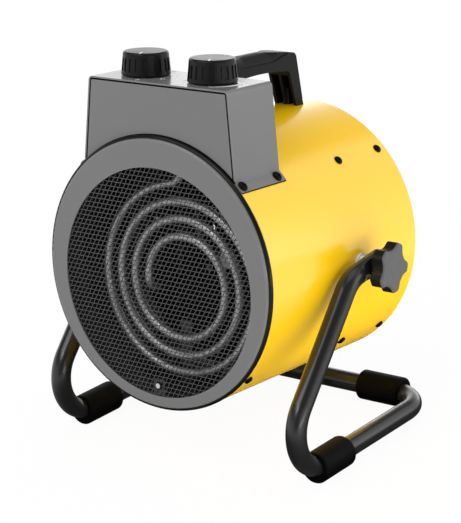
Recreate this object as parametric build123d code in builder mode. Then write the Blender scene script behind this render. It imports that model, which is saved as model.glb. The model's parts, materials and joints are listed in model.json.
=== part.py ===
"""Round forced air heater: a steel barrel that tilts in a bent tube stand.

Two frames are used. The stand is drawn in the part's own frame, +Z up and the
floor at z = 0. Everything that tilts is drawn in the heater's own level frame:
the origin is the centre of the front ring's face, +Y runs back along the
barrel's axis and +Z is up. place_heater turns it about the pivot to the angle
at which the heater stands at rest.
"""

import math
import os

from build123d import *

os.makedirs("parts", exist_ok=True)

# --- driving dimensions, in millimetres and degrees ---------------------------------

# barrel
barrel_radius = 110.3
barrel_wall = 1.0
barrel_length = 203.8
rest_tilt = 4.0  # nose-up angle at which the heater stands

# front ring, its seal and the duct behind it
ring_recess = 1.8  # how far the ring lies inside the barrel's skin
ring_sheet = 1.2
ring_depth = 15.0
ring_edge = 1.5
ring_face = 15.6  # width of the ring's face, its mean round the opening
duct_drop = 7.0  # the duct's axis lies this far below the barrel's
seal_width = 3.6
seal_start = 1.6
seal_crest = 0.7  # how far the seal's bead stands above the barrel
seal_foot = 1.0

# grille across the opening
mesh_thickness = 0.9
mesh_pitch = 10.6
mesh_bar = 1.5

# heat shield round the element
shield_wall = 0.8
shield_length = 92.0
shield_slack = 0.2

# heating element, a flat spiral of sheathed tube
element_radius = 3.5
element_plane = 35.0
element_drop = 12.5
spiral_start = 35.0  # inner radius, on the left
spiral_margin = 11.1  # from the spiral's last turn to the opening
spiral_quarters = 13
spiral_lift = 10.0  # degrees by which the last quarter stops short
quarter_turn = 90.0  # degrees
inner_bend = 11.0
outer_bend = 16.0
lead_back = 20.0
lead_low = 12.0  # of the inner lead's run to the back, below the spiral's axis
lead_top = 7.0  # how far the ends stand out of the heat shield
lead_clearance = 1.2
bead_radius = 5.0
bead_height = 5.0
bead_edge = 1.0
pin_radius = 1.6
pin_height = 8.0
strap_width = 11.0
strap_sheet = 1.2
strap_hook = 1.5  # how far the strap reaches past the innermost turn
strap_reach = 16.0
tab_width = 11.0
rivet_radius = 1.6
rivet_head = 3.0
rivet_height = 0.9
rivet_round = 0.6
rivet_tail = 2.4  # radius behind the sheets
rivet_inset = 8.4  # from the opening's edge to the rivet

# thermal cut-out on the heat shield
cutout_x = 0.0
cutout_y = 62.0
cutout_radius = 8.0
cutout_height = 6.0
cutout_edge = 0.8

# fan and motor
fan_plane = 106.0
blade_count = 6
blade_gap = 9.7  # from the blades' tips to the shield's radius
root_chord = 24.0
root_pitch = 44.0
root_camber = 3.0
middle_chord = 44.0
middle_pitch = 32.0
middle_camber = 4.5
tip_chord = 56.0
tip_pitch = 24.0
tip_camber = 5.0
blade_sink = 1.5  # of the blades' roots in the hub
hub_round = 3.0
blade_thickness = 1.2
hub_radius = 19.0
hub_length = 16.0
shaft_radius = 4.0
motor_radius = 34.0
motor_length = 46.0
motor_front = 124.0
motor_wall = 2.0
motor_neck = 6.0
motor_neck_radius = 10.0
motor_edge = 4.0
motor_vents = 8
vent_length = 10.0
vent_width = 4.0
nut_across = 13.0
nut_height = 6.0
shaft_stub = 2.0
rotor_radius = 24.0
rotor_length = 26.0
running_gap = 0.05

# bracket that carries the motor
bracket_sheet = 1.5
bracket_arm = 14.0
bracket_hub = 9.0
bracket_tab = 18.0
bracket_foot = 14.0
bracket_plane = 131.0

# rear grille
rear_sheet = 1.0
rear_inset = 4.2
rear_flange = 14.0
slot_rings = 7
slot_bar = 5.0  # between two slots
rear_rim = 7.3  # from the outermost bar to the flange
spoke_width = 7.0
spoke_count = 6
boss_radius = 18.0

# control box
box_rise = 41.2  # from the barrel's top to the box's top
box_top_half = 68.2
box_slant = 5.6  # lean of the side walls, degrees
box_depth = 57.3
box_sheet = 1.2
box_bend = 3.6
box_flange = 10.0
box_lap = 1.8  # of the flange and the foot of the wall
panel_gap = 1.5
panel_tab = 14.0
panel_tabs = 3
panel_tab_pitch = 40.0
side_tab_drops = (25.5, 51.5)  # from the box's top to the tabs at the sides
panel_tab_depth = 8.0
panel_lift = 1.4  # gap between a panel's curved edge and the barrel

# knobs on the box
knob_x = 32.9
knob_inset = 28.3  # from the box's front to the knobs
knob_height = 18.6
knob_base_radius = 19.8
knob_top_radius = 18.0
knob_crown = 2.0  # round of the edge of its flat top
knob_foot_round = 0.8
knob_hollow = 5.0
knob_flutes = 20
flute_width = 3.8
flute_depth = 0.9
flute_foot = 3.6
flute_height = 10.2
knob_air = 0.7
spindle_radius = 3.0
spindle_seat = 6.0
spindle_grip = 9.0
bush_radius = 4.8
bush_height = 5.0
panel_nut_across = 14.0
panel_nut_height = 2.4
knob_wall = 2.0
knob_boss = 6.0

# thermostat, switch and terminals inside the box
thermostat_radius = 18.0
thermostat_depth = 17.0
switch_side = 30.0
switch_depth = 24.0
switch_corner = 3.0
switch_blade_rows = 12.0
switch_blade_columns = 21.0
control_edge = 1.5
blade_width = 6.3
blade_sheet = 0.8
blade_reach = 8.0
terminal_block_length = 44.0
terminal_block_width = 14.0
terminal_block_height = 13.0
terminal_poles = 5
terminal_well = 2.0
terminal_back = 8.0  # from the box's back panel
wiring_slot_width = 40.0
wiring_slot_length = 16.0

# carrying handle
handle_width = 22.6
handle_gap = 0.1  # from the box to the handle's front foot
handle_back = 21.6  # from the handle's rear foot to the barrel's rear
handle_leg = 9.9
handle_lean = 13.9  # lean of the legs' outer faces, degrees
handle_inner_lean = 19.0
handle_rise = 48.9  # from the barrel's top to the crown
handle_depth = 16.0  # from the crown to the underside, in the middle
handle_bow = 4.2  # drop of the outer corners below the crown
handle_under_bow = 2.9  # drop of the inner corners below the underside
handle_corner = 6.0
handle_pit_radius = 4.0
crease_depth = 8.5  # of the crease below the crown, in the middle
crease_rise = 7.6  # rise of the crease at its ends
crease_level = 20.0  # half the length over which the crease is level
crease_bend = 30.0
grip_half = 50.0
grip_ledge = 1.0
leg_rib = 2.4
leg_boss = 3.6  # radius of the bosses that take the screws
leg_boss_top = 14.0  # from the barrel's top
leg_skin = 2.6

# screws
screw_head_radius = 3.7
screw_head = 2.2
screw_radius = 1.95
screw_length = 7.0
screw_slack = 0.15
upper_screw_angle = 44.6
lower_screw_angle = -41.6
box_screw_inset = 3.4  # from the foot of the box's wall to its screws, round the barrel
ring_screw_inset = 5.1  # from the ring's rear edge
box_screw_back = 7.8  # from the box's rear to its far screws
drill_reach = 10.0  # length of the cuts through the barrel and what lines it
handle_screw_length = 12.0
handle_screw_inset = 7.5  # from the foot's end

# pivot, star knobs
stud_radius = 4.0
stud_play = 0.08
stud_tip = 0.8
washer_radius = 8.0
washer_thickness = 1.6
spacer_radius = 6.0
weld_nut_across = 17.0
weld_nut = 7.0
stud_end = 10.0  # reach of the stud inside the barrel
face_gap = 0.15
star_tip = 20.8
star_valley = 15.6
star_thickness = 11.2
star_lean = -8.0
star_lobes = 5
star_tip_round = 3.6
star_valley_round = 12.0
star_edge = 1.6
star_grip = 8.0  # depth of the stud in the knob
star_hub = 8.0
star_neck = 6.6  # from the spade to the back of the lobes

# stand
tube_radius = 8.4
tube_wall = 1.4
tube_clearance = 2.2  # between the barrel and the sides of the stand
front_reach = 121.5  # from the pivot to the tube's foremost point
rear_reach = 80.0  # from the pivot to the cross tube's axis
stand_drop = 142.6  # from the pivot to the floor run's axis
shoulder_reach = 32.5  # from the pivot to the corner between arm and leg
spade_rise = 6.0
shoulder_bend = 27.0
tube_bend = 34.0
spade_height = 18.4
spade_thickness = 8.0
spade_beyond = 9.0  # from the pivot to the middle of the spade's round end
spade_start = 8.4
spade_taper = 13.0
spade_round = 2.8

# rubber sleeves on the stand
sleeve_radius = 13.0
sleeve_length = 42.0
sleeve_edge = 2.2
sleeve_tread = 0.5  # depth of the flat that the sleeve wears on the floor
front_sleeve_end = 91.0  # front end, ahead of the pivot
rear_sleeve_inset = 23.4  # from the sides of the stand to the sleeves' outer ends

# cord gland on the back of the box
gland_inset = 23.2  # from the end of the box's top to the gland
gland_drop = 25.5  # from the box's top to the gland
gland_thread_radius = 7.6
gland_flange_radius = 10.4
gland_flange = 3.0
gland_cap_radius = 9.0
gland_cap = 12.0
gland_bore_radius = 3.7
gland_thread = 9.0
gland_nut_across = 19.0
gland_nut = 3.0
gland_edge = 2.0

# --- worked out from them ------------------------------------------------------------

barrel_front = seal_start + seal_width
barrel_rear = barrel_front + barrel_length
barrel_inner = barrel_radius - barrel_wall
ring_radius = barrel_radius - ring_recess
ring_inner = ring_radius - ring_sheet
opening_radius = ring_radius - ring_face
mesh_back = ring_sheet + mesh_thickness
shield_radius = opening_radius + shield_wall
screw_hole = screw_radius + screw_slack
stud_hole = stud_radius + stud_play
rivet_spot = (0, rivet_inset - duct_drop - opening_radius)
rivet_hole = rivet_radius + screw_slack
spiral_pitch = (opening_radius - spiral_margin - spiral_start) * 4 / spiral_quarters
blade_tip = shield_radius - blade_gap
slot_pitch = (barrel_inner - rear_rim - boss_radius) / slot_rings
slot_width = slot_pitch - slot_bar
box_front = barrel_front
box_rear = box_front + box_depth
box_top = barrel_radius + box_rise
slant = math.radians(box_slant)
box_reach = (box_top_half + box_top * math.tan(slant)) * math.cos(slant)
box_foot_angle = math.degrees(slant + math.acos(box_reach / barrel_radius))
flange_span = math.degrees(box_flange / barrel_radius)
flange_middle = box_foot_angle + math.degrees((box_lap - box_flange / 2) / barrel_radius)
flange_screw_angle = box_foot_angle - math.degrees(box_screw_inset / barrel_radius)
flange_screw_far = box_rear - box_screw_back
knob_y = box_front + knob_inset
gland_x = gland_inset - box_top_half
gland_z = box_top - gland_drop
handle_foot_reach = (barrel_rear - handle_back - box_rear - handle_gap) / 2
pivot_depth = box_rear + handle_gap + handle_foot_reach
handle_crown = barrel_radius + handle_rise
handle_shoulder = handle_crown - handle_bow
handle_under = handle_crown - handle_depth
handle_pit = handle_under - handle_under_bow
grip_crease = handle_crown - crease_depth
stand_half = barrel_radius + tube_clearance + tube_radius
spade_inside = stand_half - spade_thickness / 2
spade_outside = stand_half + spade_thickness / 2
spacer_length = spade_inside - face_gap - barrel_radius
star_back = spade_outside + star_neck
pivot_z = stand_drop + sleeve_radius - sleeve_tread
tilt = math.radians(rest_tilt)
front_extent = pivot_depth * math.cos(tilt) + ring_radius * math.sin(tilt)
pivot_y = (front_extent - rear_reach - sleeve_radius) / 2

place_heater = (
    Location((0, pivot_y, pivot_z))
    * Location((0, 0, 0), (-rest_tilt, 0, 0))
    * Location((0, -pivot_depth, 0))
)
place_stand = Location((0, 0, 0))

# ways to seat a solid on a plane, from above or from below
SEATED = (Align.CENTER, Align.CENTER, Align.MIN)
HUNG = (Align.CENTER, Align.CENTER, Align.MAX)


def keep(piece, node, place):
    """Write one finished piece, in the part's own frame, under its node's name."""
    placed = piece.moved(place)
    placed.label = node
    export_step(placed, f"parts/{node}.step")


def across(y):
    """Plane square to the barrel's axis; sketches on it are in x and z."""
    return Plane.XZ.offset(-y)


def spoke_place(angle, y, radius):
    """Place on the barrel whose z points away from the barrel's axis."""
    turn = math.radians(angle)
    out = (math.cos(turn), 0, math.sin(turn))
    spot = (radius * out[0], y, radius * out[2])
    return Plane(origin=spot, x_dir=(0, 1, 0), z_dir=out).location


def both_sides(angle):
    """An angle on the right and its mirror image on the left."""
    return (angle, 180 - angle)


def radial_holes(angles, y, radius, hole_radius):
    """Round cuts through a wall, for use inside a part's own block."""
    with Locations(*[spoke_place(angle, y, radius) for angle in angles]):
        Cylinder(hole_radius, drill_reach, mode=Mode.SUBTRACT)


# --- barrel ---------------------------------------------------------------------------

grille_screw_y = barrel_rear - rear_inset - rear_flange / 2 - rear_sheet / 2
bracket_screw_y = bracket_plane + bracket_sheet + bracket_foot / 2
ring_screw_y = ring_depth - ring_screw_inset
body_angles = (*both_sides(upper_screw_angle), *both_sides(lower_screw_angle))
handle_screw_y = [
    pivot_depth + side * (handle_foot_reach - handle_screw_inset) for side in (-1, 1)
]
wiring_slot_y = (box_front + box_rear) / 2

with BuildPart() as barrel_shell:
    with BuildSketch(across(barrel_front)):
        Circle(barrel_radius)
        Circle(barrel_inner, mode=Mode.SUBTRACT)
    extrude(amount=-barrel_length)
    radial_holes(body_angles, bracket_screw_y, barrel_radius, screw_hole)
    radial_holes(body_angles, grille_screw_y, barrel_radius, screw_hole)
    radial_holes(both_sides(lower_screw_angle), ring_screw_y, barrel_radius, screw_hole)
    for y in (ring_screw_y, flange_screw_far):
        radial_holes(both_sides(flange_screw_angle), y, barrel_radius, screw_hole)
    for y in handle_screw_y:
        radial_holes((90,), y, barrel_radius, screw_hole)
    radial_holes((0, 180), pivot_depth, barrel_radius, stud_hole)
    with Locations((0, wiring_slot_y, barrel_radius)):
        Box(wiring_slot_width, wiring_slot_length, drill_reach, mode=Mode.SUBTRACT)
keep(barrel_shell.part, "barrel_shell", place_heater)

# --- front ring, seal and grille --------------------------------------------------------

with BuildPart() as front_ring:
    with BuildSketch(Plane.YZ):
        with BuildLine():
            Polyline(
                (0, 0),
                (0, ring_radius),
                (ring_depth, ring_radius),
                (ring_depth, ring_inner),
                (ring_sheet, ring_inner),
                (ring_sheet, 0),
                close=True,
            )
        make_face()
    revolve(axis=Axis.Y)
    fillet(front_ring.edges().filter_by(GeomType.CIRCLE).group_by(Axis.Y)[0], ring_edge)
    with BuildSketch(across(0)):
        with Locations((0, -duct_drop)):
            Circle(opening_radius)
    extrude(amount=-2 * ring_sheet, mode=Mode.SUBTRACT)
    radial_holes(both_sides(lower_screw_angle), ring_screw_y, ring_radius, screw_hole)
    radial_holes(both_sides(flange_screw_angle), ring_screw_y, ring_radius, screw_hole)
keep(front_ring.part, "front_ring", place_heater)

with BuildPart() as rim_seal:
    with BuildSketch(Plane.YZ):
        with BuildLine():
            Polyline(
                (barrel_front, ring_radius + seal_foot),
                (barrel_front, ring_radius),
                (seal_start, ring_radius),
                (seal_start, ring_radius + seal_foot),
            )
            ThreePointArc(
                (seal_start, ring_radius + seal_foot),
                (seal_start + seal_width / 2, barrel_radius + seal_crest),
                (barrel_front, ring_radius + seal_foot),
            )
        make_face()
    revolve(axis=Axis.Y)
keep(rim_seal.part, "rim_seal", place_heater)

with BuildPart() as front_grille:
    with BuildSketch(across(ring_sheet)):
        Circle(ring_inner - shield_slack)
        hole = mesh_pitch - mesh_bar
        span = int(2 * opening_radius / mesh_pitch)
        reach = opening_radius - hole * math.sqrt(0.5)
        centres = []
        for row in range(-span, span + 1):
            stagger = mesh_pitch / 2 * (row % 2)
            for column in range(-span, span + 1):
                spot = (column * mesh_pitch + stagger, row * mesh_pitch - duct_drop)
                inside = math.dist(spot, (0, -duct_drop)) < reach
                if inside and math.dist(spot, rivet_spot) > hole:
                    centres.append(spot)
        with Locations(*centres):
            Rectangle(hole, hole, mode=Mode.SUBTRACT)
        with Locations(rivet_spot):
            Circle(rivet_hole, mode=Mode.SUBTRACT)
    extrude(amount=-mesh_thickness)
keep(front_grille.part, "front_grille", place_heater)

# --- heating element ------------------------------------------------------------------


def curl(spot, heading, radius, turn):
    """Draw an arc in the element's plane; a negative turn runs clockwise.

    spot is in x and z, heading is the angle of travel. Returns where and in
    what direction the arc ends.
    """
    side = math.copysign(1, turn)
    away = [math.radians(heading + part * turn) for part in (0, 0.5, 1)]
    centre = (
        spot[0] - side * radius * math.sin(away[0]),
        spot[1] + side * radius * math.cos(away[0]),
    )
    steps = [
        (centre[0] + side * radius * math.sin(a), centre[1] - side * radius * math.cos(a))
        for a in away
    ]
    ThreePointArc(*[(x, element_plane, z) for x, z in steps])
    return steps[2], heading + turn


element_axis = -element_drop
inner_back = element_plane + 2 * inner_bend + lead_back
inner_low = element_axis - lead_low
inner_top = math.sqrt(shield_radius**2 - spiral_start**2) - duct_drop + lead_top

with BuildPart() as heating_element:
    with BuildLine() as element_path:
        FilletPolyline(
            (-spiral_start, inner_back, inner_top),
            (-spiral_start, inner_back, inner_low),
            (-spiral_start, element_plane, inner_low),
            (-spiral_start, element_plane, element_axis),
            radius=inner_bend,
        )
        spot = (-spiral_start, element_axis)
        heading = quarter_turn  # straight up
        for quarter in range(spiral_quarters):
            lift = spiral_lift if quarter == spiral_quarters - 1 else 0
            radius = spiral_start + spiral_pitch * (quarter + 0.5) / 4
            spot, heading = curl(spot, heading, radius, lift - quarter_turn)
        spot, heading = curl(spot, heading, outer_bend, quarter_turn - spiral_lift)
        outer_x = spot[0]
        outer_top = math.sqrt(shield_radius**2 - outer_x**2) - duct_drop + lead_top
        Line((outer_x, element_plane, spot[1]), (outer_x, element_plane, outer_top))
    with BuildSketch(Plane(origin=(-spiral_start, inner_back, inner_top), z_dir=(0, 0, -1))):
        Circle(element_radius)
    sweep()
keep(heating_element.part, "heating_element", place_heater)


def least_gap(path, diameter, apart):
    """Smallest gap of a bent tube to itself, between points further apart than that."""
    count = int(path.length / diameter * 2)
    places = [step * path.length / count for step in range(count + 1)]
    spots = path.positions(places, PositionMode.LENGTH)
    skip = int(apart / places[1]) + 1
    pairs = ((a, b) for i, a in enumerate(spots) for b in spots[i + skip :])
    return min((a - b).length for a, b in pairs) - diameter


element_gap = least_gap(element_path.wires()[0], 2 * element_radius, math.pi * inner_bend)
print(f"least gap of the heating element to itself: {element_gap:.2f} mm")

lead_tops = [(-spiral_start, inner_back, inner_top), (outer_x, element_plane, outer_top)]

with BuildPart() as lead_bead:
    Cylinder(bead_radius, bead_height, align=SEATED)
    chamfer(lead_bead.edges().filter_by(GeomType.CIRCLE), bead_edge)
    with Locations((0, 0, bead_height)):
        Cylinder(pin_radius, pin_height, align=SEATED)

with BuildPart() as element_terminals:
    with Locations(*lead_tops):
        add(lead_bead.part)
keep(element_terminals.part, "element_terminals", place_heater)

# --- heat shield and what it holds ------------------------------------------------------

tab_low = -duct_drop - shield_radius + shield_wall / 2
tab_high = rivet_spot[1] + tab_width / 2

with BuildPart() as heat_shield:
    with BuildSketch(across(mesh_back)):
        Circle(ring_inner - shield_slack)
        with Locations((0, -duct_drop)):
            Circle(opening_radius, mode=Mode.SUBTRACT)
        with Locations((0, (tab_low + tab_high) / 2)):
            Rectangle(tab_width, tab_high - tab_low)
        with Locations(rivet_spot):
            Circle(rivet_hole, mode=Mode.SUBTRACT)
    extrude(amount=-shield_wall)
    with BuildSketch(across(mesh_back)):
        with Locations((0, -duct_drop)):
            Circle(shield_radius)
            Circle(opening_radius, mode=Mode.SUBTRACT)
    extrude(amount=-shield_length)
    with Locations(*[(x, y, shield_radius) for x, y, _ in lead_tops]):
        Cylinder(element_radius + lead_clearance, shield_radius, mode=Mode.SUBTRACT)
keep(heat_shield.part, "heat_shield", place_heater)

with BuildPart() as grille_rivet:
    with BuildSketch(across(ring_sheet)):
        with Locations(rivet_spot):
            Circle(rivet_head)
    extrude(amount=rivet_height)
    fillet(grille_rivet.edges().group_by(Axis.Y)[0], rivet_round)
    with BuildSketch(across(ring_sheet)):
        with Locations(rivet_spot):
            Circle(rivet_radius)
    extrude(amount=-(mesh_thickness + shield_wall))
    with BuildSketch(across(mesh_back + shield_wall)):
        with Locations(rivet_spot):
            Circle(rivet_tail)
    extrude(amount=-rivet_height)
keep(grille_rivet.part, "grille_rivet", place_heater)

strap_back = element_plane + element_radius
strap_foot = -duct_drop - opening_radius
strap_top = strap_hook - spiral_start - element_drop

with BuildPart() as element_strap:
    with BuildSketch(Plane.YZ):
        with BuildLine():
            Polyline(
                (strap_back, strap_top),
                (strap_back, strap_foot),
                (strap_back + strap_reach, strap_foot),
                (strap_back + strap_reach, strap_foot + strap_sheet),
                (strap_back + strap_sheet, strap_foot + strap_sheet),
                (strap_back + strap_sheet, strap_top),
                close=True,
            )
        make_face()
    extrude(amount=strap_width / 2, both=True)
    with BuildSketch(across(0)):
        with Locations((0, -duct_drop)):
            Circle(opening_radius)
    extrude(amount=-barrel_length, mode=Mode.INTERSECT)
keep(element_strap.part, "element_strap", place_heater)

cutout_seat = math.sqrt(shield_radius**2 - cutout_x**2) - duct_drop

with BuildPart() as thermal_cutout:
    with BuildSketch(Plane.XY.offset(cutout_seat)):
        with Locations((cutout_x, cutout_y)):
            Circle(cutout_radius)
    extrude(amount=cutout_height)
    fillet(thermal_cutout.edges().group_by(Axis.Z)[-1], cutout_edge)
    with BuildSketch(Plane.XY.offset(cutout_seat + cutout_height)):
        with Locations((cutout_x, cutout_y)):
            with GridLocations(cutout_radius, 0, 2, 1):
                Rectangle(blade_sheet, blade_width)
    extrude(amount=blade_reach)
keep(thermal_cutout.part, "thermal_cutout", place_heater)

# --- fan and motor ----------------------------------------------------------------------

motor_rear = motor_front + motor_length
hub_front = fan_plane - hub_length / 2
duct_line = Axis((0, 0, -duct_drop), (0, 1, 0))


def blade_section(radius, chord, pitch, camber):
    """Cambered section of a blade, square to the blade's own radius."""
    plane = Plane(origin=(radius, fan_plane, -duct_drop), x_dir=(0, 0, 1), z_dir=(1, 0, 0))
    half = chord / 2
    with BuildSketch(plane) as section:
        with BuildLine():
            ThreePointArc((-half, 0), (0, camber), (half, 0))
            Line((half, 0), (half, blade_thickness))
            ThreePointArc(
                (half, blade_thickness), (0, camber + blade_thickness), (-half, blade_thickness)
            )
            Line((-half, blade_thickness), (-half, 0))
        make_face()
    return section.sketch.rotate(Axis(plane.origin, (1, 0, 0)), -pitch)


blade_root = hub_radius - blade_sink
blade_middle = (blade_root + blade_tip) / 2
sections = [
    blade_section(blade_root, root_chord, root_pitch, root_camber),
    blade_section(blade_middle, middle_chord, middle_pitch, middle_camber),
    blade_section(blade_tip, tip_chord, tip_pitch, tip_camber),
]

with BuildPart() as blade:
    loft(sections)

with BuildPart() as fan_rotor:
    with BuildSketch(across(hub_front)):
        with Locations((0, -duct_drop)):
            Circle(hub_radius)
    extrude(amount=-hub_length)
    fillet(fan_rotor.edges().group_by(Axis.Y)[0], hub_round)
    for number in range(blade_count):
        add(blade.part.rotate(duct_line, number * 360 / blade_count))
    with BuildSketch(across(hub_front)):
        with Locations((0, -duct_drop)):
            Circle(shaft_radius)
    extrude(amount=-hub_length, mode=Mode.SUBTRACT)
keep(fan_rotor.part, "fan_rotor", place_heater)

with BuildPart() as fan_nut:
    with BuildSketch(across(hub_front)):
        with Locations((0, -duct_drop)):
            RegularPolygon(nut_across / 2, 6, major_radius=False)
            Circle(shaft_radius, mode=Mode.SUBTRACT)
    extrude(amount=nut_height)
keep(fan_nut.part, "fan_nut", place_heater)

with BuildPart() as motor_rotor:
    shaft_start = hub_front - nut_height - shaft_stub
    with BuildSketch(across(shaft_start)):
        with Locations((0, -duct_drop)):
            Circle(shaft_radius)
    extrude(amount=shaft_start - motor_rear - motor_neck - shaft_stub)
    with BuildSketch(across(motor_front + (motor_length - rotor_length) / 2)):
        with Locations((0, -duct_drop)):
            Circle(rotor_radius)
    extrude(amount=-rotor_length)
keep(motor_rotor.part, "motor_rotor", place_heater)

with BuildPart() as motor_housing:
    with BuildSketch(across(motor_front)):
        with Locations((0, -duct_drop)):
            Circle(motor_radius)
    extrude(amount=-motor_length)
    fillet(motor_housing.edges().filter_by(GeomType.CIRCLE), motor_edge)
    with BuildSketch(across(motor_front - motor_neck)):
        with Locations((0, -duct_drop)):
            Circle(motor_neck_radius)
    extrude(amount=-(motor_length + 2 * motor_neck))
    with BuildSketch(across(motor_front + motor_wall)):
        with Locations((0, -duct_drop)):
            Circle(motor_radius - motor_wall)
    extrude(amount=-(motor_length - 2 * motor_wall), mode=Mode.SUBTRACT)
    with BuildSketch(across(motor_front - motor_neck)):
        with Locations((0, -duct_drop)):
            Circle(shaft_radius + running_gap)
    extrude(amount=-(motor_length + 2 * motor_neck), mode=Mode.SUBTRACT)
    with BuildSketch(across(motor_rear)):
        with Locations((0, -duct_drop)):
            with PolarLocations((motor_neck_radius + motor_radius) / 2, motor_vents):
                Rectangle(vent_length, vent_width)
    extrude(amount=2 * motor_wall, mode=Mode.SUBTRACT)
keep(motor_housing.part, "motor_housing", place_heater)

tab_angle = math.degrees(bracket_tab / barrel_inner)

with BuildPart() as motor_bracket:
    with BuildSketch(across(bracket_plane)):
        with Locations((0, -duct_drop)):
            Circle(motor_radius + bracket_hub)
        for angle in body_angles:
            turn = math.radians(angle)
            tip = Vector(barrel_radius * math.cos(turn), barrel_radius * math.sin(turn))
            root = Vector(0, -duct_drop)
            arm = tip - root
            lean = math.degrees(math.atan2(arm.Y, arm.X))
            with Locations((root + tip) / 2):
                Rectangle(arm.length, bracket_arm, rotation=lean)
        Circle(barrel_inner, mode=Mode.INTERSECT)
        with Locations((0, -duct_drop)):
            Circle(motor_radius, mode=Mode.SUBTRACT)
    extrude(amount=-bracket_sheet)
    with BuildSketch(across(bracket_plane)):
        for angle in body_angles:
            with BuildLine():
                start = angle - tab_angle / 2
                outer = CenterArc((0, 0), barrel_inner, start, tab_angle)
                inner = CenterArc((0, 0), barrel_inner - bracket_sheet, start, tab_angle)
                Line(outer @ 0, inner @ 0)
                Line(outer @ 1, inner @ 1)
            make_face()
    extrude(amount=-(bracket_sheet + bracket_foot))
    radial_holes(body_angles, bracket_screw_y, barrel_inner, screw_hole)
keep(motor_bracket.part, "motor_bracket", place_heater)

# --- rear grille --------------------------------------------------------------------------

rear_face = barrel_rear - rear_inset

with BuildPart() as rear_grille:
    with BuildSketch(Plane.YZ):
        with BuildLine():
            Polyline(
                (rear_face, 0),
                (rear_face, barrel_inner),
                (rear_face - rear_flange, barrel_inner),
                (rear_face - rear_flange, barrel_inner - rear_sheet),
                (rear_face - rear_sheet, barrel_inner - rear_sheet),
                (rear_face - rear_sheet, 0),
                close=True,
            )
        make_face()
    revolve(axis=Axis.Y)
    with BuildSketch(across(rear_face)):
        for ring in reversed(range(slot_rings)):
            middle = boss_radius + slot_pitch * (ring + 0.5)
            Circle(middle + slot_width / 2)
            Circle(middle - slot_width / 2, mode=Mode.SUBTRACT)
        with PolarLocations(barrel_inner / 2, spoke_count):
            Rectangle(barrel_inner, spoke_width, mode=Mode.SUBTRACT)
    extrude(amount=2 * rear_sheet, both=True, mode=Mode.SUBTRACT)
    radial_holes(body_angles, grille_screw_y, barrel_inner, screw_hole)
keep(rear_grille.part, "rear_grille", place_heater)

# --- control box ---------------------------------------------------------------------------

box_low = barrel_radius * math.sin(math.radians(box_foot_angle)) - box_flange


def box_outline(inset):
    """Cross-section of the box, drawn in by inset from its outer skin."""
    top = box_top - inset
    half_top = box_top_half - inset / math.cos(slant) + inset * math.tan(slant)
    half_low = half_top + (top - box_low) * math.tan(slant)
    with BuildSketch() as outline:
        with BuildLine():
            Polyline(
                (-half_low, box_low),
                (half_low, box_low),
                (half_top, top),
                (-half_top, top),
                close=True,
            )
        make_face()
        fillet(outline.vertices().group_by(Axis.Y)[-1], max(box_bend - inset, 1))
    return outline.sketch


with BuildPart() as box_cover:
    with BuildSketch(across(box_front)):
        add(box_outline(0))
        add(box_outline(box_sheet), mode=Mode.SUBTRACT)
        Circle(barrel_radius, mode=Mode.SUBTRACT)
        for middle in both_sides(flange_middle):
            with BuildLine():
                start = middle - flange_span / 2
                outer = CenterArc((0, 0), barrel_radius + box_sheet, start, flange_span)
                inner = CenterArc((0, 0), barrel_radius, start, flange_span)
                Line(outer @ 0, inner @ 0)
                Line(outer @ 1, inner @ 1)
            make_face()
    extrude(amount=-box_depth)
    for y in (ring_screw_y, flange_screw_far):
        radial_holes(both_sides(flange_screw_angle), y, barrel_radius, screw_hole)
    with Locations((-knob_x, knob_y, box_top), (knob_x, knob_y, box_top)):
        Cylinder(bush_radius + screw_slack, 4 * box_sheet, mode=Mode.SUBTRACT)
keep(box_cover.part, "box_cover", place_heater)


def box_panel(outer_y, inward):
    """End panel of the box, with the tabs that hold it inside the cover."""
    with BuildPart() as panel:
        with BuildSketch(across(outer_y)):
            add(box_outline(box_sheet + panel_gap))
            Circle(barrel_radius + panel_lift, mode=Mode.SUBTRACT)
        extrude(amount=-inward * box_sheet)
        with BuildSketch(across(outer_y + inward * box_sheet)):
            with Locations((0, box_top)):
                with GridLocations(panel_tab_pitch, 0, panel_tabs, 1):
                    Rectangle(panel_tab, 6 * box_sheet)
            with Locations(*[(0, box_top - drop) for drop in side_tab_drops]):
                Rectangle(2 * barrel_radius, panel_tab)
            add(box_outline(box_sheet), mode=Mode.INTERSECT)
            add(box_outline(2 * box_sheet + panel_gap), mode=Mode.SUBTRACT)
        extrude(amount=inward * (box_sheet - panel_tab_depth))
    return panel.part


keep(box_panel(box_front, 1), "box_front_panel", place_heater)

with BuildPart() as box_rear_panel:
    add(box_panel(box_rear, -1))
    with BuildSketch(across(box_rear)):
        with Locations((gland_x, gland_z)):
            Circle(gland_thread_radius + screw_slack)
    extrude(amount=2 * box_sheet, mode=Mode.SUBTRACT)
keep(box_rear_panel.part, "box_rear_panel", place_heater)

# --- knobs and what they turn ------------------------------------------------------------

knob_seat = box_top + knob_air
knob_cavity = knob_top_radius - knob_wall
spindle_low = box_top - box_sheet - spindle_seat
spindle_high = knob_seat + knob_hollow + spindle_grip
flute_lean = math.degrees(math.atan2(knob_base_radius - knob_top_radius, knob_height))
flute_middle = flute_foot + flute_height / 2
flute_radius = knob_base_radius - flute_middle * math.tan(math.radians(flute_lean))

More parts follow.
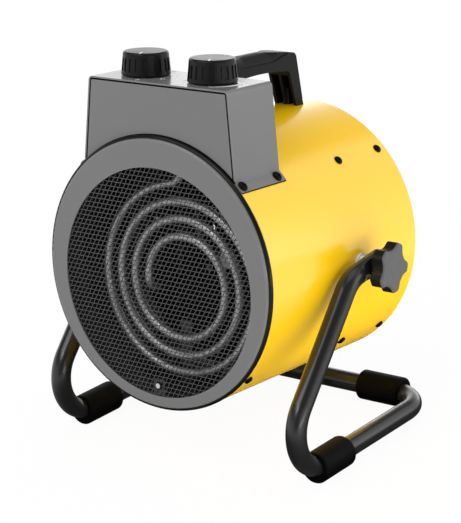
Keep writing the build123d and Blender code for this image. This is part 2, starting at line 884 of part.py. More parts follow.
with BuildPart() as knob:
    with BuildSketch(Plane.XZ):
        with BuildLine():
            Polyline(
                (0, 0),
                (knob_base_radius, 0),
                (knob_top_radius, knob_height),
                (0, knob_height),
                close=True,
            )
        make_face()
    revolve(axis=Axis.Z)
    fillet(knob.edges().filter_by(GeomType.CIRCLE).group_by(Axis.Z)[-1], knob_crown)
    fillet(knob.edges().filter_by(GeomType.CIRCLE).group_by(Axis.Z)[0], knob_foot_round)
    with Locations((0, 0, flute_middle)):
        with PolarLocations(flute_radius, knob_flutes):
            Box(
                2 * flute_depth,
                flute_width,
                flute_height,
                rotation=(0, -flute_lean, 0),
                mode=Mode.SUBTRACT,
            )
    Cylinder(knob_cavity, knob_hollow, align=SEATED, mode=Mode.SUBTRACT)
    with BuildSketch(Plane.XY.offset(knob_hollow)):
        Circle(knob_cavity)
        Circle(knob_boss, mode=Mode.SUBTRACT)
    extrude(amount=knob_height - knob_wall - 2 * knob_crown - knob_hollow, mode=Mode.SUBTRACT)
    with Locations((0, 0, knob_hollow)):
        Cylinder(spindle_radius, spindle_grip, align=SEATED, mode=Mode.SUBTRACT)


def spindle_at(x):
    """Spindle that a knob sits on, from its seat under the box's top."""
    with BuildPart() as spindle:
        with Locations((x, knob_y, spindle_low)):
            Cylinder(spindle_radius, spindle_high - spindle_low, align=SEATED)
    return spindle.part


def add_bush(x):
    """Bush through the box's top and its bore, for use inside a part's own block."""
    with Locations((x, knob_y, box_top - box_sheet)):
        Cylinder(bush_radius, box_sheet + bush_height, align=SEATED)
    with Locations((x, knob_y, spindle_low)):
        Cylinder(
            spindle_radius + running_gap,
            spindle_high - spindle_low,
            align=SEATED,
            mode=Mode.SUBTRACT,
        )


for node, x in (("thermostat_knob", knob_x), ("selector_knob", -knob_x)):
    keep(knob.part.moved(Location((x, knob_y, knob_seat))), node, place_heater)
keep(spindle_at(knob_x), "thermostat_spindle", place_heater)
keep(spindle_at(-knob_x), "selector_spindle", place_heater)

with BuildPart() as thermostat_body:
    with Locations((knob_x, knob_y, box_top - box_sheet)):
        Cylinder(thermostat_radius, thermostat_depth, align=HUNG)
    fillet(thermostat_body.edges().group_by(Axis.Z)[0], control_edge)
    with Locations((knob_x, knob_y, box_top - box_sheet - thermostat_depth)):
        with GridLocations(thermostat_radius, 0, 2, 1):
            Box(blade_width, blade_sheet, blade_reach, align=HUNG)
    add_bush(knob_x)
keep(thermostat_body.part, "thermostat_body", place_heater)

with BuildPart() as selector_switch:
    with Locations((-knob_x, knob_y, box_top - box_sheet)):
        Box(switch_side, switch_side, switch_depth, align=HUNG)
    fillet(selector_switch.edges().filter_by(Axis.Z), switch_corner)
    fillet(selector_switch.edges().group_by(Axis.Z)[0], control_edge)
    with Locations((-knob_x, knob_y, box_top - box_sheet - switch_depth)):
        with GridLocations(switch_blade_columns, switch_blade_rows, 2, 2):
            Box(blade_sheet, blade_width, blade_reach, align=HUNG)
    add_bush(-knob_x)
keep(selector_switch.part, "selector_switch", place_heater)

with BuildPart() as panel_nuts:
    with BuildSketch(Plane.XY.offset(box_top)):
        with Locations((-knob_x, knob_y), (knob_x, knob_y)):
            RegularPolygon(panel_nut_across / 2, 6, major_radius=False)
            Circle(bush_radius, mode=Mode.SUBTRACT)
    extrude(amount=panel_nut_height)
keep(panel_nuts.part, "panel_nuts", place_heater)

block_y = box_rear - box_sheet - terminal_back - terminal_block_width / 2
block_top = barrel_radius + terminal_block_height

with BuildPart() as terminal_block:
    with Locations((0, block_y, barrel_radius)):
        Box(terminal_block_length, terminal_block_width, terminal_block_height, align=SEATED)
    with Locations((0, block_y, block_top)):
        with GridLocations(terminal_block_length / terminal_poles, 0, terminal_poles, 1):
            Cylinder(terminal_well, terminal_block_height, mode=Mode.SUBTRACT)
keep(terminal_block.part, "terminal_block", place_heater)

with BuildPart() as cable_gland:
    with BuildSketch(across(box_rear)):
        with Locations((gland_x, gland_z)):
            RegularPolygon(gland_flange_radius, 6)
    extrude(amount=-gland_flange)
    with BuildSketch(across(box_rear + gland_flange)):
        with Locations((gland_x, gland_z)):
            Circle(gland_cap_radius)
    extrude(amount=-gland_cap)
    fillet(cable_gland.edges().group_by(Axis.Y)[-1], gland_edge)
    with BuildSketch(across(box_rear)):
        with Locations((gland_x, gland_z)):
            Circle(gland_thread_radius)
    extrude(amount=box_sheet + gland_thread)
    with BuildSketch(across(box_rear + gland_flange + gland_cap)):
        with Locations((gland_x, gland_z)):
            Circle(gland_bore_radius)
    extrude(
        amount=gland_flange + gland_cap + box_sheet + gland_thread, mode=Mode.SUBTRACT
    )
keep(cable_gland.part, "cable_gland", place_heater)

with BuildPart() as gland_locknut:
    with BuildSketch(across(box_rear - box_sheet)):
        with Locations((gland_x, gland_z)):
            RegularPolygon(gland_nut_across / 2, 6, major_radius=False)
            Circle(gland_thread_radius, mode=Mode.SUBTRACT)
    extrude(amount=gland_nut)
keep(gland_locknut.part, "gland_locknut", place_heater)

# --- carrying handle -----------------------------------------------------------------------

handle_low = barrel_radius - handle_corner


def outer_face(z):
    """Half-length of the handle over its legs' outer faces, at a height."""
    return handle_foot_reach - (z - barrel_radius) * math.tan(math.radians(handle_lean))


def inner_face(z):
    """Half-length between the legs' inner faces, at a height."""
    rise = (z - barrel_radius) * math.tan(math.radians(handle_inner_lean))
    return handle_foot_reach - handle_leg - rise


handle_plane = Plane(origin=(0, pivot_depth, 0), x_dir=(0, 1, 0), z_dir=(1, 0, 0))
pocket_top = handle_pit - handle_pit_radius
pocket_wide = (handle_width - leg_rib) / 2 - leg_skin
grip_end = grip_crease + crease_rise

with BuildPart() as carry_handle:
    with BuildSketch(handle_plane) as handle_profile:
        with BuildLine():
            Line(
                (outer_face(handle_low), handle_low),
                (outer_face(handle_shoulder), handle_shoulder),
            )
            ThreePointArc(
                (outer_face(handle_shoulder), handle_shoulder),
                (0, handle_crown),
                (-outer_face(handle_shoulder), handle_shoulder),
            )
            Line(
                (-outer_face(handle_shoulder), handle_shoulder),
                (-outer_face(handle_low), handle_low),
            )
            Line((-outer_face(handle_low), handle_low), (-inner_face(handle_low), handle_low))
            Line((-inner_face(handle_low), handle_low), (-inner_face(handle_pit), handle_pit))
            ThreePointArc(
                (-inner_face(handle_pit), handle_pit),
                (0, handle_under),
                (inner_face(handle_pit), handle_pit),
            )
            Line((inner_face(handle_pit), handle_pit), (inner_face(handle_low), handle_low))
            Line((inner_face(handle_low), handle_low), (outer_face(handle_low), handle_low))
        make_face()
        fillet(handle_profile.vertices().group_by(Axis.Y)[-1], handle_corner)
        fillet(handle_profile.vertices().group_by(Axis.Y)[1], handle_pit_radius)
    extrude(amount=handle_width / 2, both=True)
    with BuildLine() as grip_line:
        FilletPolyline(
            (0, pivot_depth - grip_half, grip_end),
            (0, pivot_depth - crease_level, grip_crease),
            (0, pivot_depth + crease_level, grip_crease),
            (0, pivot_depth + grip_half, grip_end),
            radius=crease_bend,
        )
    with BuildSketch(Plane(origin=grip_line.line @ 0, x_dir=(-1, 0, 0), z_dir=grip_line.line % 0)):
        Rectangle(2 * handle_width, 2 * crease_depth, align=(Align.CENTER, Align.MIN))
        Ellipse(handle_width / 2 - grip_ledge, crease_depth, mode=Mode.SUBTRACT)
    sweep(path=grip_line.line, mode=Mode.SUBTRACT)
    for side in (-1, 1):
        with BuildSketch(handle_plane.offset(side * (leg_rib + pocket_wide) / 2)):
            for end in (-1, 1):
                with BuildLine():
                    Polyline(
                        (end * (inner_face(handle_low) - leg_skin), handle_low),
                        (end * (outer_face(handle_low) - leg_skin), handle_low),
                        (end * (outer_face(pocket_top) - leg_skin), pocket_top),
                        (end * (inner_face(pocket_top) - leg_skin), pocket_top),
                        close=True,
                    )
                make_face()
        extrude(amount=pocket_wide / 2, both=True, mode=Mode.SUBTRACT)
    with Locations(*[(0, y, handle_low) for y in handle_screw_y]):
        Cylinder(leg_boss, handle_corner + leg_boss_top, align=SEATED)
    with BuildSketch(across(0)):
        Circle(barrel_radius)
    extrude(amount=-barrel_rear, mode=Mode.SUBTRACT)
    with Locations(*[(0, y, barrel_radius) for y in handle_screw_y]):
        Cylinder(screw_radius, handle_screw_length, align=SEATED, mode=Mode.SUBTRACT)
        Cylinder(screw_radius, handle_corner, align=HUNG, mode=Mode.SUBTRACT)
keep(carry_handle.part, "carry_handle", place_heater)

# --- screws --------------------------------------------------------------------------------


def pan_screw(length):
    """Screw that seats at z = 0 with its head above."""
    with BuildPart() as screw:
        Cylinder(screw_head_radius, screw_head, align=SEATED)
        chamfer(screw.edges().group_by(Axis.Z)[-1], screw_head / 2)
        Cylinder(screw_radius, length, align=HUNG)
    return screw.part


def screw_group(node, places, length):
    """Several like screws as one node."""
    with BuildPart() as screws:
        with Locations(*places):
            add(pan_screw(length))
    keep(screws.part, node, place_heater)


def body_row(y):
    """Seats of four screws on the barrel, in one row round it."""
    return [spoke_place(angle, y, barrel_radius) for angle in body_angles]


screw_group("bracket_screws", body_row(bracket_screw_y), screw_length)
screw_group("rear_grille_screws", body_row(grille_screw_y), screw_length)
screw_group(
    "ring_screws",
    [spoke_place(angle, ring_screw_y, barrel_radius) for angle in both_sides(lower_screw_angle)],
    screw_length,
)
screw_group(
    "box_screws",
    [
        spoke_place(angle, y, barrel_radius + box_sheet)
        for angle in both_sides(flange_screw_angle)
        for y in (ring_screw_y, flange_screw_far)
    ],
    screw_length,
)
head_seat = math.sqrt(barrel_inner**2 - screw_head_radius**2)
screw_group(
    "handle_screws",
    [Location((0, y, head_seat), (180, 0, 0)) for y in handle_screw_y],
    handle_screw_length,
)

# --- pivot and star knobs --------------------------------------------------------------------

stud_inner = barrel_inner - stud_end
pivot_plane = Plane(origin=(0, pivot_depth, 0), x_dir=(0, 1, 0), z_dir=(1, 0, 0))

with BuildPart() as weld_nuts:
    with BuildSketch(pivot_plane.offset(barrel_inner - weld_nut)):
        RegularPolygon(weld_nut_across / 2, 6, major_radius=False)
    extrude(amount=weld_nut)
    with BuildSketch(across(0)):
        Circle(barrel_inner)
    extrude(amount=-barrel_rear, mode=Mode.INTERSECT)
    with BuildSketch(pivot_plane):
        Circle(stud_radius + running_gap)
    extrude(amount=barrel_radius, mode=Mode.SUBTRACT)
    mirror(about=Plane.YZ)
keep(weld_nuts.part, "weld_nuts", place_heater)

with BuildPart() as pivot_washers:
    with BuildSketch(pivot_plane.offset(barrel_radius)):
        Circle(washer_radius)
    extrude(amount=washer_thickness)
    with BuildSketch(pivot_plane.offset(barrel_radius)):
        Circle(spacer_radius)
    extrude(amount=spacer_length)
    with BuildSketch(pivot_plane.offset(barrel_radius)):
        Circle(stud_hole)
    extrude(amount=spacer_length, mode=Mode.SUBTRACT)
    mirror(about=Plane.YZ)
keep(pivot_washers.part, "pivot_washers", place_heater)

with BuildPart() as stud_right:
    with BuildSketch(pivot_plane.offset(stud_inner)):
        Circle(stud_radius)
    extrude(amount=star_back + star_grip - stud_inner)
    chamfer(stud_right.edges().group_by(Axis.X)[0], stud_tip)
keep(stud_right.part, "stud_right", place_heater)

with BuildPart() as star_knob_right:
    with BuildSketch(pivot_plane.offset(star_back)) as star_outline:
        Circle(star_tip)
        valley_reach = star_valley + star_valley_round
        with PolarLocations(valley_reach, star_lobes, start_angle=star_lean + 180 / star_lobes):
            Circle(star_valley_round, mode=Mode.SUBTRACT)
        fillet(star_outline.vertices(), star_tip_round)
    extrude(amount=star_thickness)
    fillet(star_knob_right.edges().group_by(Axis.X)[-1], star_edge)
    chamfer(star_knob_right.edges().group_by(Axis.X)[0], star_edge / 2)
    with BuildSketch(pivot_plane.offset(spade_outside + face_gap)):
        Circle(star_hub)
    extrude(amount=star_back - spade_outside - face_gap)
    with BuildSketch(pivot_plane.offset(spade_outside)):
        Circle(stud_radius)
    extrude(amount=star_back + star_grip - spade_outside, mode=Mode.SUBTRACT)
keep(star_knob_right.part, "star_knob_right", place_heater)

with BuildPart() as stud_left:
    mirror(stud_right.part, about=Plane.YZ)
keep(stud_left.part, "stud_left", place_heater)

with BuildPart() as star_knob_left:
    mirror(star_knob_right.part, about=Plane.YZ)
keep(star_knob_left.part, "star_knob_left", place_heater)

# --- stand ------------------------------------------------------------------------------------

rise = math.radians(spade_rise)
bend_ahead = front_reach - tube_radius - tube_bend - shoulder_reach * math.cos(rise)
bend_below = stand_drop - tube_bend - shoulder_reach * math.sin(rise)
bend_away = math.hypot(bend_ahead, bend_below)
leg_slope = math.atan2(bend_below, bend_ahead) - math.asin(tube_bend / bend_away)
front_corner = front_reach - tube_radius - tube_bend + tube_bend / math.tan(leg_slope / 2)
arm_end = spade_start + spade_taper
shoulder_room = (shoulder_reach - arm_end) / math.tan((leg_slope - rise) / 2)
floor_run = pivot_z - stand_drop


def side_point(along, up):
    """Point on the right side of the stand, counted from the pivot."""
    return (stand_half, pivot_y + along, pivot_z + up)


def arm_plane(distance):
    """Plane square to the arm, at a distance from the pivot, x pointing out."""
    spot = side_point(-distance * math.cos(rise), -distance * math.sin(rise))
    return Plane(origin=spot, x_dir=(1, 0, 0), z_dir=(0, -math.cos(rise), -math.sin(rise)))


def tube_line():
    """Centre line of the bent tube, from the right arm to the middle of the back."""
    with BuildLine() as line:
        FilletPolyline(
            arm_plane(arm_end).origin,
            arm_plane(shoulder_reach).origin,
            side_point(-front_corner, -stand_drop),
            side_point(rear_reach, -stand_drop),
            (0, pivot_y + rear_reach, floor_run),
            radius=(min(shoulder_bend, shoulder_room), tube_bend, tube_bend),
        )
    return line.line


half_line = tube_line()

with BuildPart() as tube_core:
    with BuildSketch(arm_plane(arm_end)):
        Circle(tube_radius)
    sweep(path=half_line)
    mirror(about=Plane.YZ)

spade_plane = Plane(origin=(spade_inside, pivot_y, pivot_z), x_dir=(0, 1, 0), z_dir=(1, 0, 0))

with BuildPart() as spade:
    with BuildSketch(spade_plane):
        with Locations(Location((0, 0, 0), (0, 0, spade_rise))):
            with Locations((spade_beyond, 0)):
                Circle(spade_height / 2)
                Rectangle(
                    spade_beyond + spade_start + spade_round,
                    spade_height,
                    align=(Align.MAX, Align.CENTER),
                )
    extrude(amount=spade_thickness)
    fillet(spade.edges().filter_by(Axis.X, reverse=True), spade_round)
    split(bisect_by=arm_plane(spade_start), keep=Keep.BOTTOM)

with BuildPart() as stand_tube:
    with BuildSketch(arm_plane(arm_end)):
        Circle(tube_radius)
        Circle(tube_radius - tube_wall, mode=Mode.SUBTRACT)
    sweep(path=half_line)
    with BuildSketch(arm_plane(spade_start)) as flat_end:
        RectangleRounded(spade_thickness, spade_height, spade_round)
    with BuildSketch(arm_plane(arm_end)) as round_end:
        Circle(tube_radius)
    loft([flat_end.sketch, round_end.sketch])
    add(spade.part)
    with Locations(Location((stand_half, pivot_y, pivot_z), (0, 90, 0))):
        Cylinder(stud_hole, 2 * spade_thickness, mode=Mode.SUBTRACT)
    mirror(about=Plane.YZ)
keep(stand_tube.part, "stand_tube", place_stand)


def sleeve(node, start, direction):
    """Rubber sleeve on the stand's tube, worn flat where it meets the floor."""
    with BuildPart() as rubber:
        with BuildSketch(Plane(origin=start, z_dir=direction)):
            Circle(sleeve_radius)
        extrude(amount=sleeve_length)
        fillet(rubber.edges().filter_by(GeomType.CIRCLE), sleeve_edge)
        add(tube_core.part, mode=Mode.SUBTRACT)
        split(bisect_by=Plane.XY)
    keep(rubber.part, node, place_stand)


front_sleeve_y = pivot_y - front_sleeve_end
rear_sleeve_y = pivot_y + rear_reach
rear_sleeve_end = stand_half - rear_sleeve_inset
for side, name in ((1, "right"), (-1, "left")):
    sleeve(f"sleeve_front_{name}", (side * stand_half, front_sleeve_y, floor_run), (0, 1, 0))
    sleeve(f"sleeve_rear_{name}", (side * rear_sleeve_end, rear_sleeve_y, floor_run), (-side, 0, 0))
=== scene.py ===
"""Studio picture of a round forced air heater on a bent tube stand.

Blender works in metres in the row frame: +Z up, floor at z = 0. The object's sizes
below are in millimetres, and MM turns them into metres. Pieces of the tilting heater
are laid out in the heater's own level frame: its origin is the centre of the front
ring's face, +Y runs back along the barrel, and HEATER puts them in place.
"""

import json
import math
import random

import bmesh
import bpy
from mathutils import Matrix, Vector


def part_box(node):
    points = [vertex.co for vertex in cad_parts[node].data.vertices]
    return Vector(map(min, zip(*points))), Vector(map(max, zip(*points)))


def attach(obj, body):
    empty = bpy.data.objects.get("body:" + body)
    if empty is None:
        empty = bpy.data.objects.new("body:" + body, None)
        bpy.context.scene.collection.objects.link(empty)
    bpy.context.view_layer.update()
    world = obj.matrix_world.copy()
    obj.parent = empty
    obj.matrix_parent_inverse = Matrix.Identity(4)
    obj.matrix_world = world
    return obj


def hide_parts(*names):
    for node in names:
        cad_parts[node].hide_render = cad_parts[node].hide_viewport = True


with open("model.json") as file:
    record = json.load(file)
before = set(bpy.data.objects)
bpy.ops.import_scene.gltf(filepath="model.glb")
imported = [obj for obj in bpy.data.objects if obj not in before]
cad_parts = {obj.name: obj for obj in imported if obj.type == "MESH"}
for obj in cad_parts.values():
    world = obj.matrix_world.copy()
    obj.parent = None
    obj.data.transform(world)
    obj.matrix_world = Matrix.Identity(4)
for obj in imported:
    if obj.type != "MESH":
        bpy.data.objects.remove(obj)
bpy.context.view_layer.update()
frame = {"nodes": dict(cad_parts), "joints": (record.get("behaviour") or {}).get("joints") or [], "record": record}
nodes = frame["nodes"]

MM = 0.001

# --- the heater's own frame -------------------------------------------------------------

joint_at = {joint["name"]: joint for joint in frame["joints"]}
pivot = Vector(joint_at["tilt"]["pos_m"])
axis = Vector(joint_at["fan_spin"]["axis"])
ring_face = min((vertex.co - pivot).dot(axis) for vertex in nodes["front_ring"].data.vertices)

HEATER = (
    Matrix.Translation(pivot)
    @ Matrix.Rotation(math.asin(axis.z), 4, "X")
    @ Matrix.Translation((0, ring_face, 0))
)
TO_LEVEL = HEATER.inverted()


def level(point):
    """A point of the model in the heater's own frame, in millimetres."""
    return TO_LEVEL @ Vector(point) / MM


def level_box(node):
    """A node's lowest and highest corners in the heater's own frame, in millimetres."""
    points = [level(vertex.co) for vertex in nodes[node].data.vertices]
    low = Vector([min(values) for values in zip(*points)])
    high = Vector([max(values) for values in zip(*points)])
    return low, high


# --- sizes that the pieces share with the model -----------------------------------------

box_low, box_high = level_box("box_cover")
BOX_FRONT, BOX_REAR, BOX_TOP = box_low.y, box_high.y, box_high.z
BARREL_RADIUS = level_box("barrel_shell")[1].x
OPENING_DROP = -level(joint_at["fan_spin"]["pos_m"]).z  # below the barrel's axis
KNOB_X, KNOB_Y = level(joint_at["thermostat_turn"]["pos_m"]).xy
KNOB_TOP = level_box("thermostat_knob")[1].z

BARREL_INSIDE = 109.6
OPENING_RADIUS = 92.9
ELEMENT_SHADED = (40, 48)  # depths between which the heat shield's shade begins
BOX_TOP_HALF = 68.2
BOX_BEND = 3.6
BOX_SHEET = 1.2
WALL_SLANT = math.radians(5.6)
WALL_REACH = BOX_TOP_HALF * math.cos(WALL_SLANT) + BOX_TOP * math.sin(WALL_SLANT)
FLANGE_FOOT = math.radians(42.8)

STAR_FACE = 141.2  # of the star knobs, out from the middle
RIVET_SHADE_RADII = (1.9, 2.3)  # radii between which the rivet's painted shade begins

# screws, with their angles round the barrel from +X in degrees
UPPER_SCREWS = 44.6
LOWER_SCREWS = -41.6
BOX_SCREWS = 45.3
HEAD_RADIUS = 3.7

# dials: where their marks begin, in degrees from +X, and how far they turn
THERMOSTAT_START = -62
THERMOSTAT_SWEEP = 300
SELECTOR_START = -67
SELECTOR_STEP = 45

# --- sizes of the pieces that only this script has --------------------------------------

SAME_POINT = 0.0001  # points nearer to each other than this are joined

# woven mesh: level wires crossed by wires that lean over
ROW_PITCH = 3.83
COLUMN_PITCH = 4.3
WIRE_LEAN = math.radians(61)
WIRE_RADIUS = 0.37
WIRE_SIDES = 5
WEAVE = 0.3  # how far a wire swings to each side
MESH_REACH = OPENING_RADIUS + 0.6
MESH_DEPTH = 1.7
ROW_WIRE_STEP = COLUMN_PITCH / 4  # between points along a wire
COLUMN_WIRE_STEP = ROW_PITCH / 3.5

# a screw's head is a flat dome with a cross cut into it
BOX_HEAD_RADIUS = 4.3
HEAD_HEIGHT = 2.2
HEAD_RIM = 0.5  # the dome's edge drops to this height
HEAD_RINGS = 14
HEAD_SIDES = 48
DOME_REACH = 0.93  # share of the dome's full radius that the head takes in
DOME_POWER = 2.6  # 2 would be a ball
CROSS_HALF_WIDTH = 0.72
CROSS_REACH = 2.3
CROSS_DEPTH = 1.3
CROSS_SIDE_RUN = 0.16  # width over which the cross's sides fall
CROSS_END_RUN = 0.3
SEAT_DEPTH = 0.04
SHANK_RADIUS = 1.95
SHANK_LENGTH = 7.0
SHANK_SIDES = 12

# beads of the rubber finish in the gaps between the box's cover and its end panels, as painted shade where the
# gaps are dark
BEAD_INSETS = (1.25, 2.65)  # from the box's outline
BEAD_DEPTHS = (0.6, 1.15)  # from the box's front or rear
BEAD_CROWN = 0.3
BEAD_FOOT = 111.9  # from the barrel's axis
BEND_STEPS = 6

# rubber under the front panel's curved edge, with a chamfer at its front; it also puts painted shade in the gap
# under that edge
EDGE_RADII = (BARREL_RADIUS + 0.02, BARREL_RADIUS + 1.35)  # inner and outer
EDGE_FROM = math.radians(47.6)
EDGE_FRONT = BOX_FRONT - 0.4
EDGE_SHOULDER = BOX_FRONT + 0.02
EDGE_REAR = BOX_FRONT + 1.1
EDGE_CHAMFER = 0.4
EDGE_STEPS = 60

# dark line of painted shadow along the foot of each flange
SHADE_LINE_WIDTH = math.radians(0.32)
SHADE_LINE_OVERLAP = 0.0005  # into the flange's edge, in radians
SHADE_LINE_HEIGHTS = (0.6, 0.9)  # at its outer side and at the flange
SHADE_LINE_SHORT = 0.1  # of the box's front and rear

# prints on the box's top
PRINT_BASE = BOX_TOP - 0.02
PRINT_TOP = BOX_TOP + 0.06
SCALE_RADIUS = 22.2
SCALE_WIDTHS = (0.35, 5.2)
SCALE_WIDENS_OVER = 0.5  # of its length
SCALE_STEPS = 96
MARK_RADIUS = 25.6
MARK_HEIGHT = 4.2
CAPITAL_SHARE = 0.7  # of a font's size that its capitals are high

# sign of three blades for the setting that only blows
BLADES = 3
BLADE_MIDDLE = 1.45  # from the sign's middle
BLADE_HALVES = (1.1, 0.62)
BLADE_LEAN = 0.5  # of the first blade, in radians
BLADE_SIDES = 16

# pointers on the dials' tops
POINTER_REACH = (9.0, 17.0)
POINTER_HALF_WIDTH = 0.7
POINTER_BASE = KNOB_TOP - 0.4
POINTER_TOP = KNOB_TOP + 0.08


# --- nodes ------------------------------------------------------------------------------


class Nodes:
    """A node tree under construction, with short calls for common nodes."""

    def __init__(self, owner):
        owner.use_nodes = True
        self.tree = owner.node_tree
        self.tree.nodes.clear()

    def fill(self, socket, value):
        """Link a socket to the socket that the value is, or else set it to the value."""
        if isinstance(value, bpy.types.NodeSocket):
            self.tree.links.new(value, socket)
        elif isinstance(value, tuple) and socket.type == "RGBA":
            socket.default_value = (*value, 1)
        else:
            socket.default_value = value

    def add(self, kind, inputs=(), **settings):
        """New node with its settings, and its inputs filled by name or number."""
        node = self.tree.nodes.new("ShaderNode" + kind)
        for name, value in settings.items():
            setattr(node, name, value)
        for name, value in dict(inputs).items():
            self.fill(node.inputs[name], value)
        return node

    def spread(self, value, low, high, start=0.3, end=0.7, interpolation="LINEAR"):
        """Map start to end onto low to high; most of a noise lies from 0.3 to 0.7."""
        inputs = {
            "Value": value, "From Min": start, "From Max": end, "To Min": low, "To Max": high
        }
        return self.add("MapRange", inputs, interpolation_type=interpolation).outputs["Result"]

    def calculate(self, operation, first, second):
        """Result of a math operation on two numbers, each plain or a socket."""
        return self.add("Math", {0: first, 1: second}, operation=operation).outputs[0]

    def vector(self, operation, *values):
        """Result of a vector operation on sockets or tuples."""
        node = self.add("VectorMath", dict(enumerate(values)), operation=operation)
        single = operation in ("LENGTH", "DOT_PRODUCT")
        return node.outputs["Value" if single else "Vector"]

    def blend(self, factor, first, second):
        """Mix two colours, each a tuple or a socket, by a factor socket."""
        inputs = {"Factor": factor, 6: first, 7: second}
        return self.add("Mix", inputs, data_type="RGBA").outputs[2]

    def choose(self, factor, first, second):
        """Mix two shaders by a factor socket."""
        return self.add("MixShader", {"Fac": factor, 1: first, 2: second}).outputs[0]

    def is_ray(self, *kinds):
        """Factor that is 1 for rays of the named kinds."""
        rays = self.add("LightPath").outputs
        total = rays[kinds[0]]
        for kind in kinds[1:]:
            total = self.calculate("MAXIMUM", total, rays[kind])
        return total


class Finish(Nodes):
    """A material of one shader over the object's own coordinates."""

    COLOUR_PATCHES = 14  # per metre
    GLOSS_PATCHES = 35
    BUMP_HEIGHT = 0.2 * MM
    WEAR_RADIUS = 0.7 * MM
    WEAR_TURN = (0.02, 0.16)  # turns of the rounded normal where wear starts and is full

    def __init__(self, name):
        self.material = bpy.data.materials.new(name)
        super().__init__(self.material)
        self.out = self.add("OutputMaterial")
        self.surface = self.add("BsdfPrincipled")
        self.fill(self.out.inputs["Surface"], self.surface.outputs[0])
        self.place = self.add("TexCoord").outputs["Object"]

    def set(self, **values):
        """Fill the shader's own sockets, with _ for each space in their names."""
        for name, value in values.items():
            self.fill(self.surface.inputs[name.replace("_", " ")], value)

    def noise(self, scale, detail=4.0):
        """Noise over the object's own coordinates; scale is in features per metre."""
        inputs = {"Vector": self.place, "Scale": scale, "Detail": detail, "Roughness": 0.55}
        return self.add("TexNoise", inputs).outputs["Fac"]

    def beyond(self, distance, start, end):
        """0 where a distance is under start and 1 where it is over end, in millimetres."""
        return self.spread(distance, 0, 1, start * MM, end * MM)

    def from_axis(self, origin, along):
        """Distance from a line through a point."""
        offset = self.vector("SUBTRACT", self.place, tuple(origin))
        return self.vector("LENGTH", self.vector("CROSS_PRODUCT", offset, tuple(along)))

    def edges(self):
        """How much a spot lies at an edge, from 0 to 1."""
        rounded = self.add("Bevel", {"Radius": self.WEAR_RADIUS}, samples=4).outputs["Normal"]
        plain = self.add("NewGeometry").outputs["Normal"]
        turned = self.vector("LENGTH", self.vector("SUBTRACT", rounded, plain))
        return self.spread(turned, 0, 1, *self.WEAR_TURN)

    def bump(self, height, strength):
        """Raise the surface by a height socket."""
        inputs = {"Strength": strength, "Distance": self.BUMP_HEIGHT, "Height": height}
        self.set(Normal=self.add("Bump", inputs).outputs["Normal"])


def finish_of(name, colour, shade, rough, bump=0.1, grain=900, metallic=0.0, worn=None, **extra):
    """Finish with a little life in colour and gloss, fine bump and, if asked, worn edges."""
    made = Finish(name)
    made.set(Metallic=metallic, **extra)
    made.tone = made.blend(made.spread(made.noise(made.COLOUR_PATCHES), 0, 1), colour, shade)
    if worn:
        made.tone = made.blend(made.edges(), made.tone, worn)
    made.set(
        Base_Color=made.tone, Roughness=made.spread(made.noise(made.GLOSS_PATCHES), *rough)
    )
    made.bump(made.noise(grain, detail=2), bump)
    return made


# --- finishes ---------------------------------------------------------------------------

# each has two close colours that it wanders between, and its range of roughness
yellow = finish_of(
    "yellow_enamel", (0.96, 0.575, 0.0035), (0.95, 0.567, 0.003), (0.22, 0.24), bump=0.02,
    grain=420, Coat_Weight=0.6, Coat_Roughness=0.15,
)
grey = finish_of(
    "grey_enamel", (0.152, 0.152, 0.152), (0.147, 0.147, 0.147), (0.22, 0.23), bump=0.03,
    grain=700, worn=(0.2, 0.2, 0.205), Specular_IOR_Level=0.4,
)
tube_black = finish_of(
    "black_enamel", (0.009, 0.009, 0.0095), (0.0075, 0.0075, 0.008), (0.38, 0.42), bump=0.02,
    grain=1500, Specular_IOR_Level=0.1, Coat_Weight=0.9, Coat_Roughness=0.24,
)
# black rubber, also the finish of the dark pieces of painted shade round the box
rubber = finish_of(
    "black_rubber", (0.0012, 0.0012, 0.0012), (0.0018, 0.0018, 0.0018), (0.5, 0.6), bump=0.2,
    grain=900, Specular_IOR_Level=0.07,
)
seal_rubber = finish_of(
    "seal_rubber", (0.003, 0.003, 0.003), (0.004, 0.004, 0.004), (0.2, 0.24), bump=0.04,
    grain=900, Specular_IOR_Level=0.22,
)
moulded = finish_of(
    "moulded_black", (0.006, 0.006, 0.0063), (0.0075, 0.0075, 0.0078), (0.28, 0.34), bump=0.12,
    grain=2600, Specular_IOR_Level=0.16,
)
handle_black = finish_of(
    "handle_black", (0.005, 0.005, 0.0052), (0.006, 0.006, 0.0062), (0.4, 0.46), bump=0.2,
    grain=2600, Specular_IOR_Level=0.12,
)
star_black = finish_of(
    "star_black", (0.008, 0.008, 0.0083), (0.01, 0.01, 0.0103), (0.26, 0.3), bump=0.1,
    grain=2600, Specular_IOR_Level=0.2,
)
screw_black = finish_of(
    "blackened_steel", (0.0015, 0.0015, 0.0015), (0.002, 0.002, 0.002), (0.16, 0.2), bump=0.03,
    grain=2000, Specular_IOR_Level=0.08,
)
bright = finish_of(
    "bright_steel", (0.62, 0.62, 0.61), (0.5, 0.5, 0.49), (0.18, 0.3), bump=0.1, grain=2400,
    metallic=1.0,
)
rivet = finish_of(
    "rivet_steel", (0.7, 0.7, 0.69), (0.6, 0.6, 0.59), (0.2, 0.3), bump=0.08, grain=2400,
    metallic=0.9,
)
zinc = finish_of(
    "zinc_steel", (0.66, 0.66, 0.64), (0.5, 0.5, 0.49), (0.24, 0.4), bump=0.12, grain=700,
    metallic=1.0,
)
washer_zinc = finish_of(
    "washer_zinc", (0.85, 0.85, 0.84), (0.78, 0.78, 0.77), (0.25, 0.35), bump=0.05, grain=700,
    metallic=0.3,
)
wire = finish_of(
    "plated_wire", (0.085, 0.085, 0.086), (0.07, 0.07, 0.071), (0.4, 0.5), bump=0.1,
    grain=3000, metallic=0.2,
)
sheath = finish_of(
    "element_sheath", (0.54, 0.535, 0.53), (0.46, 0.455, 0.45), (0.38, 0.44), bump=0.03,
    grain=1400, metallic=0.9,
)
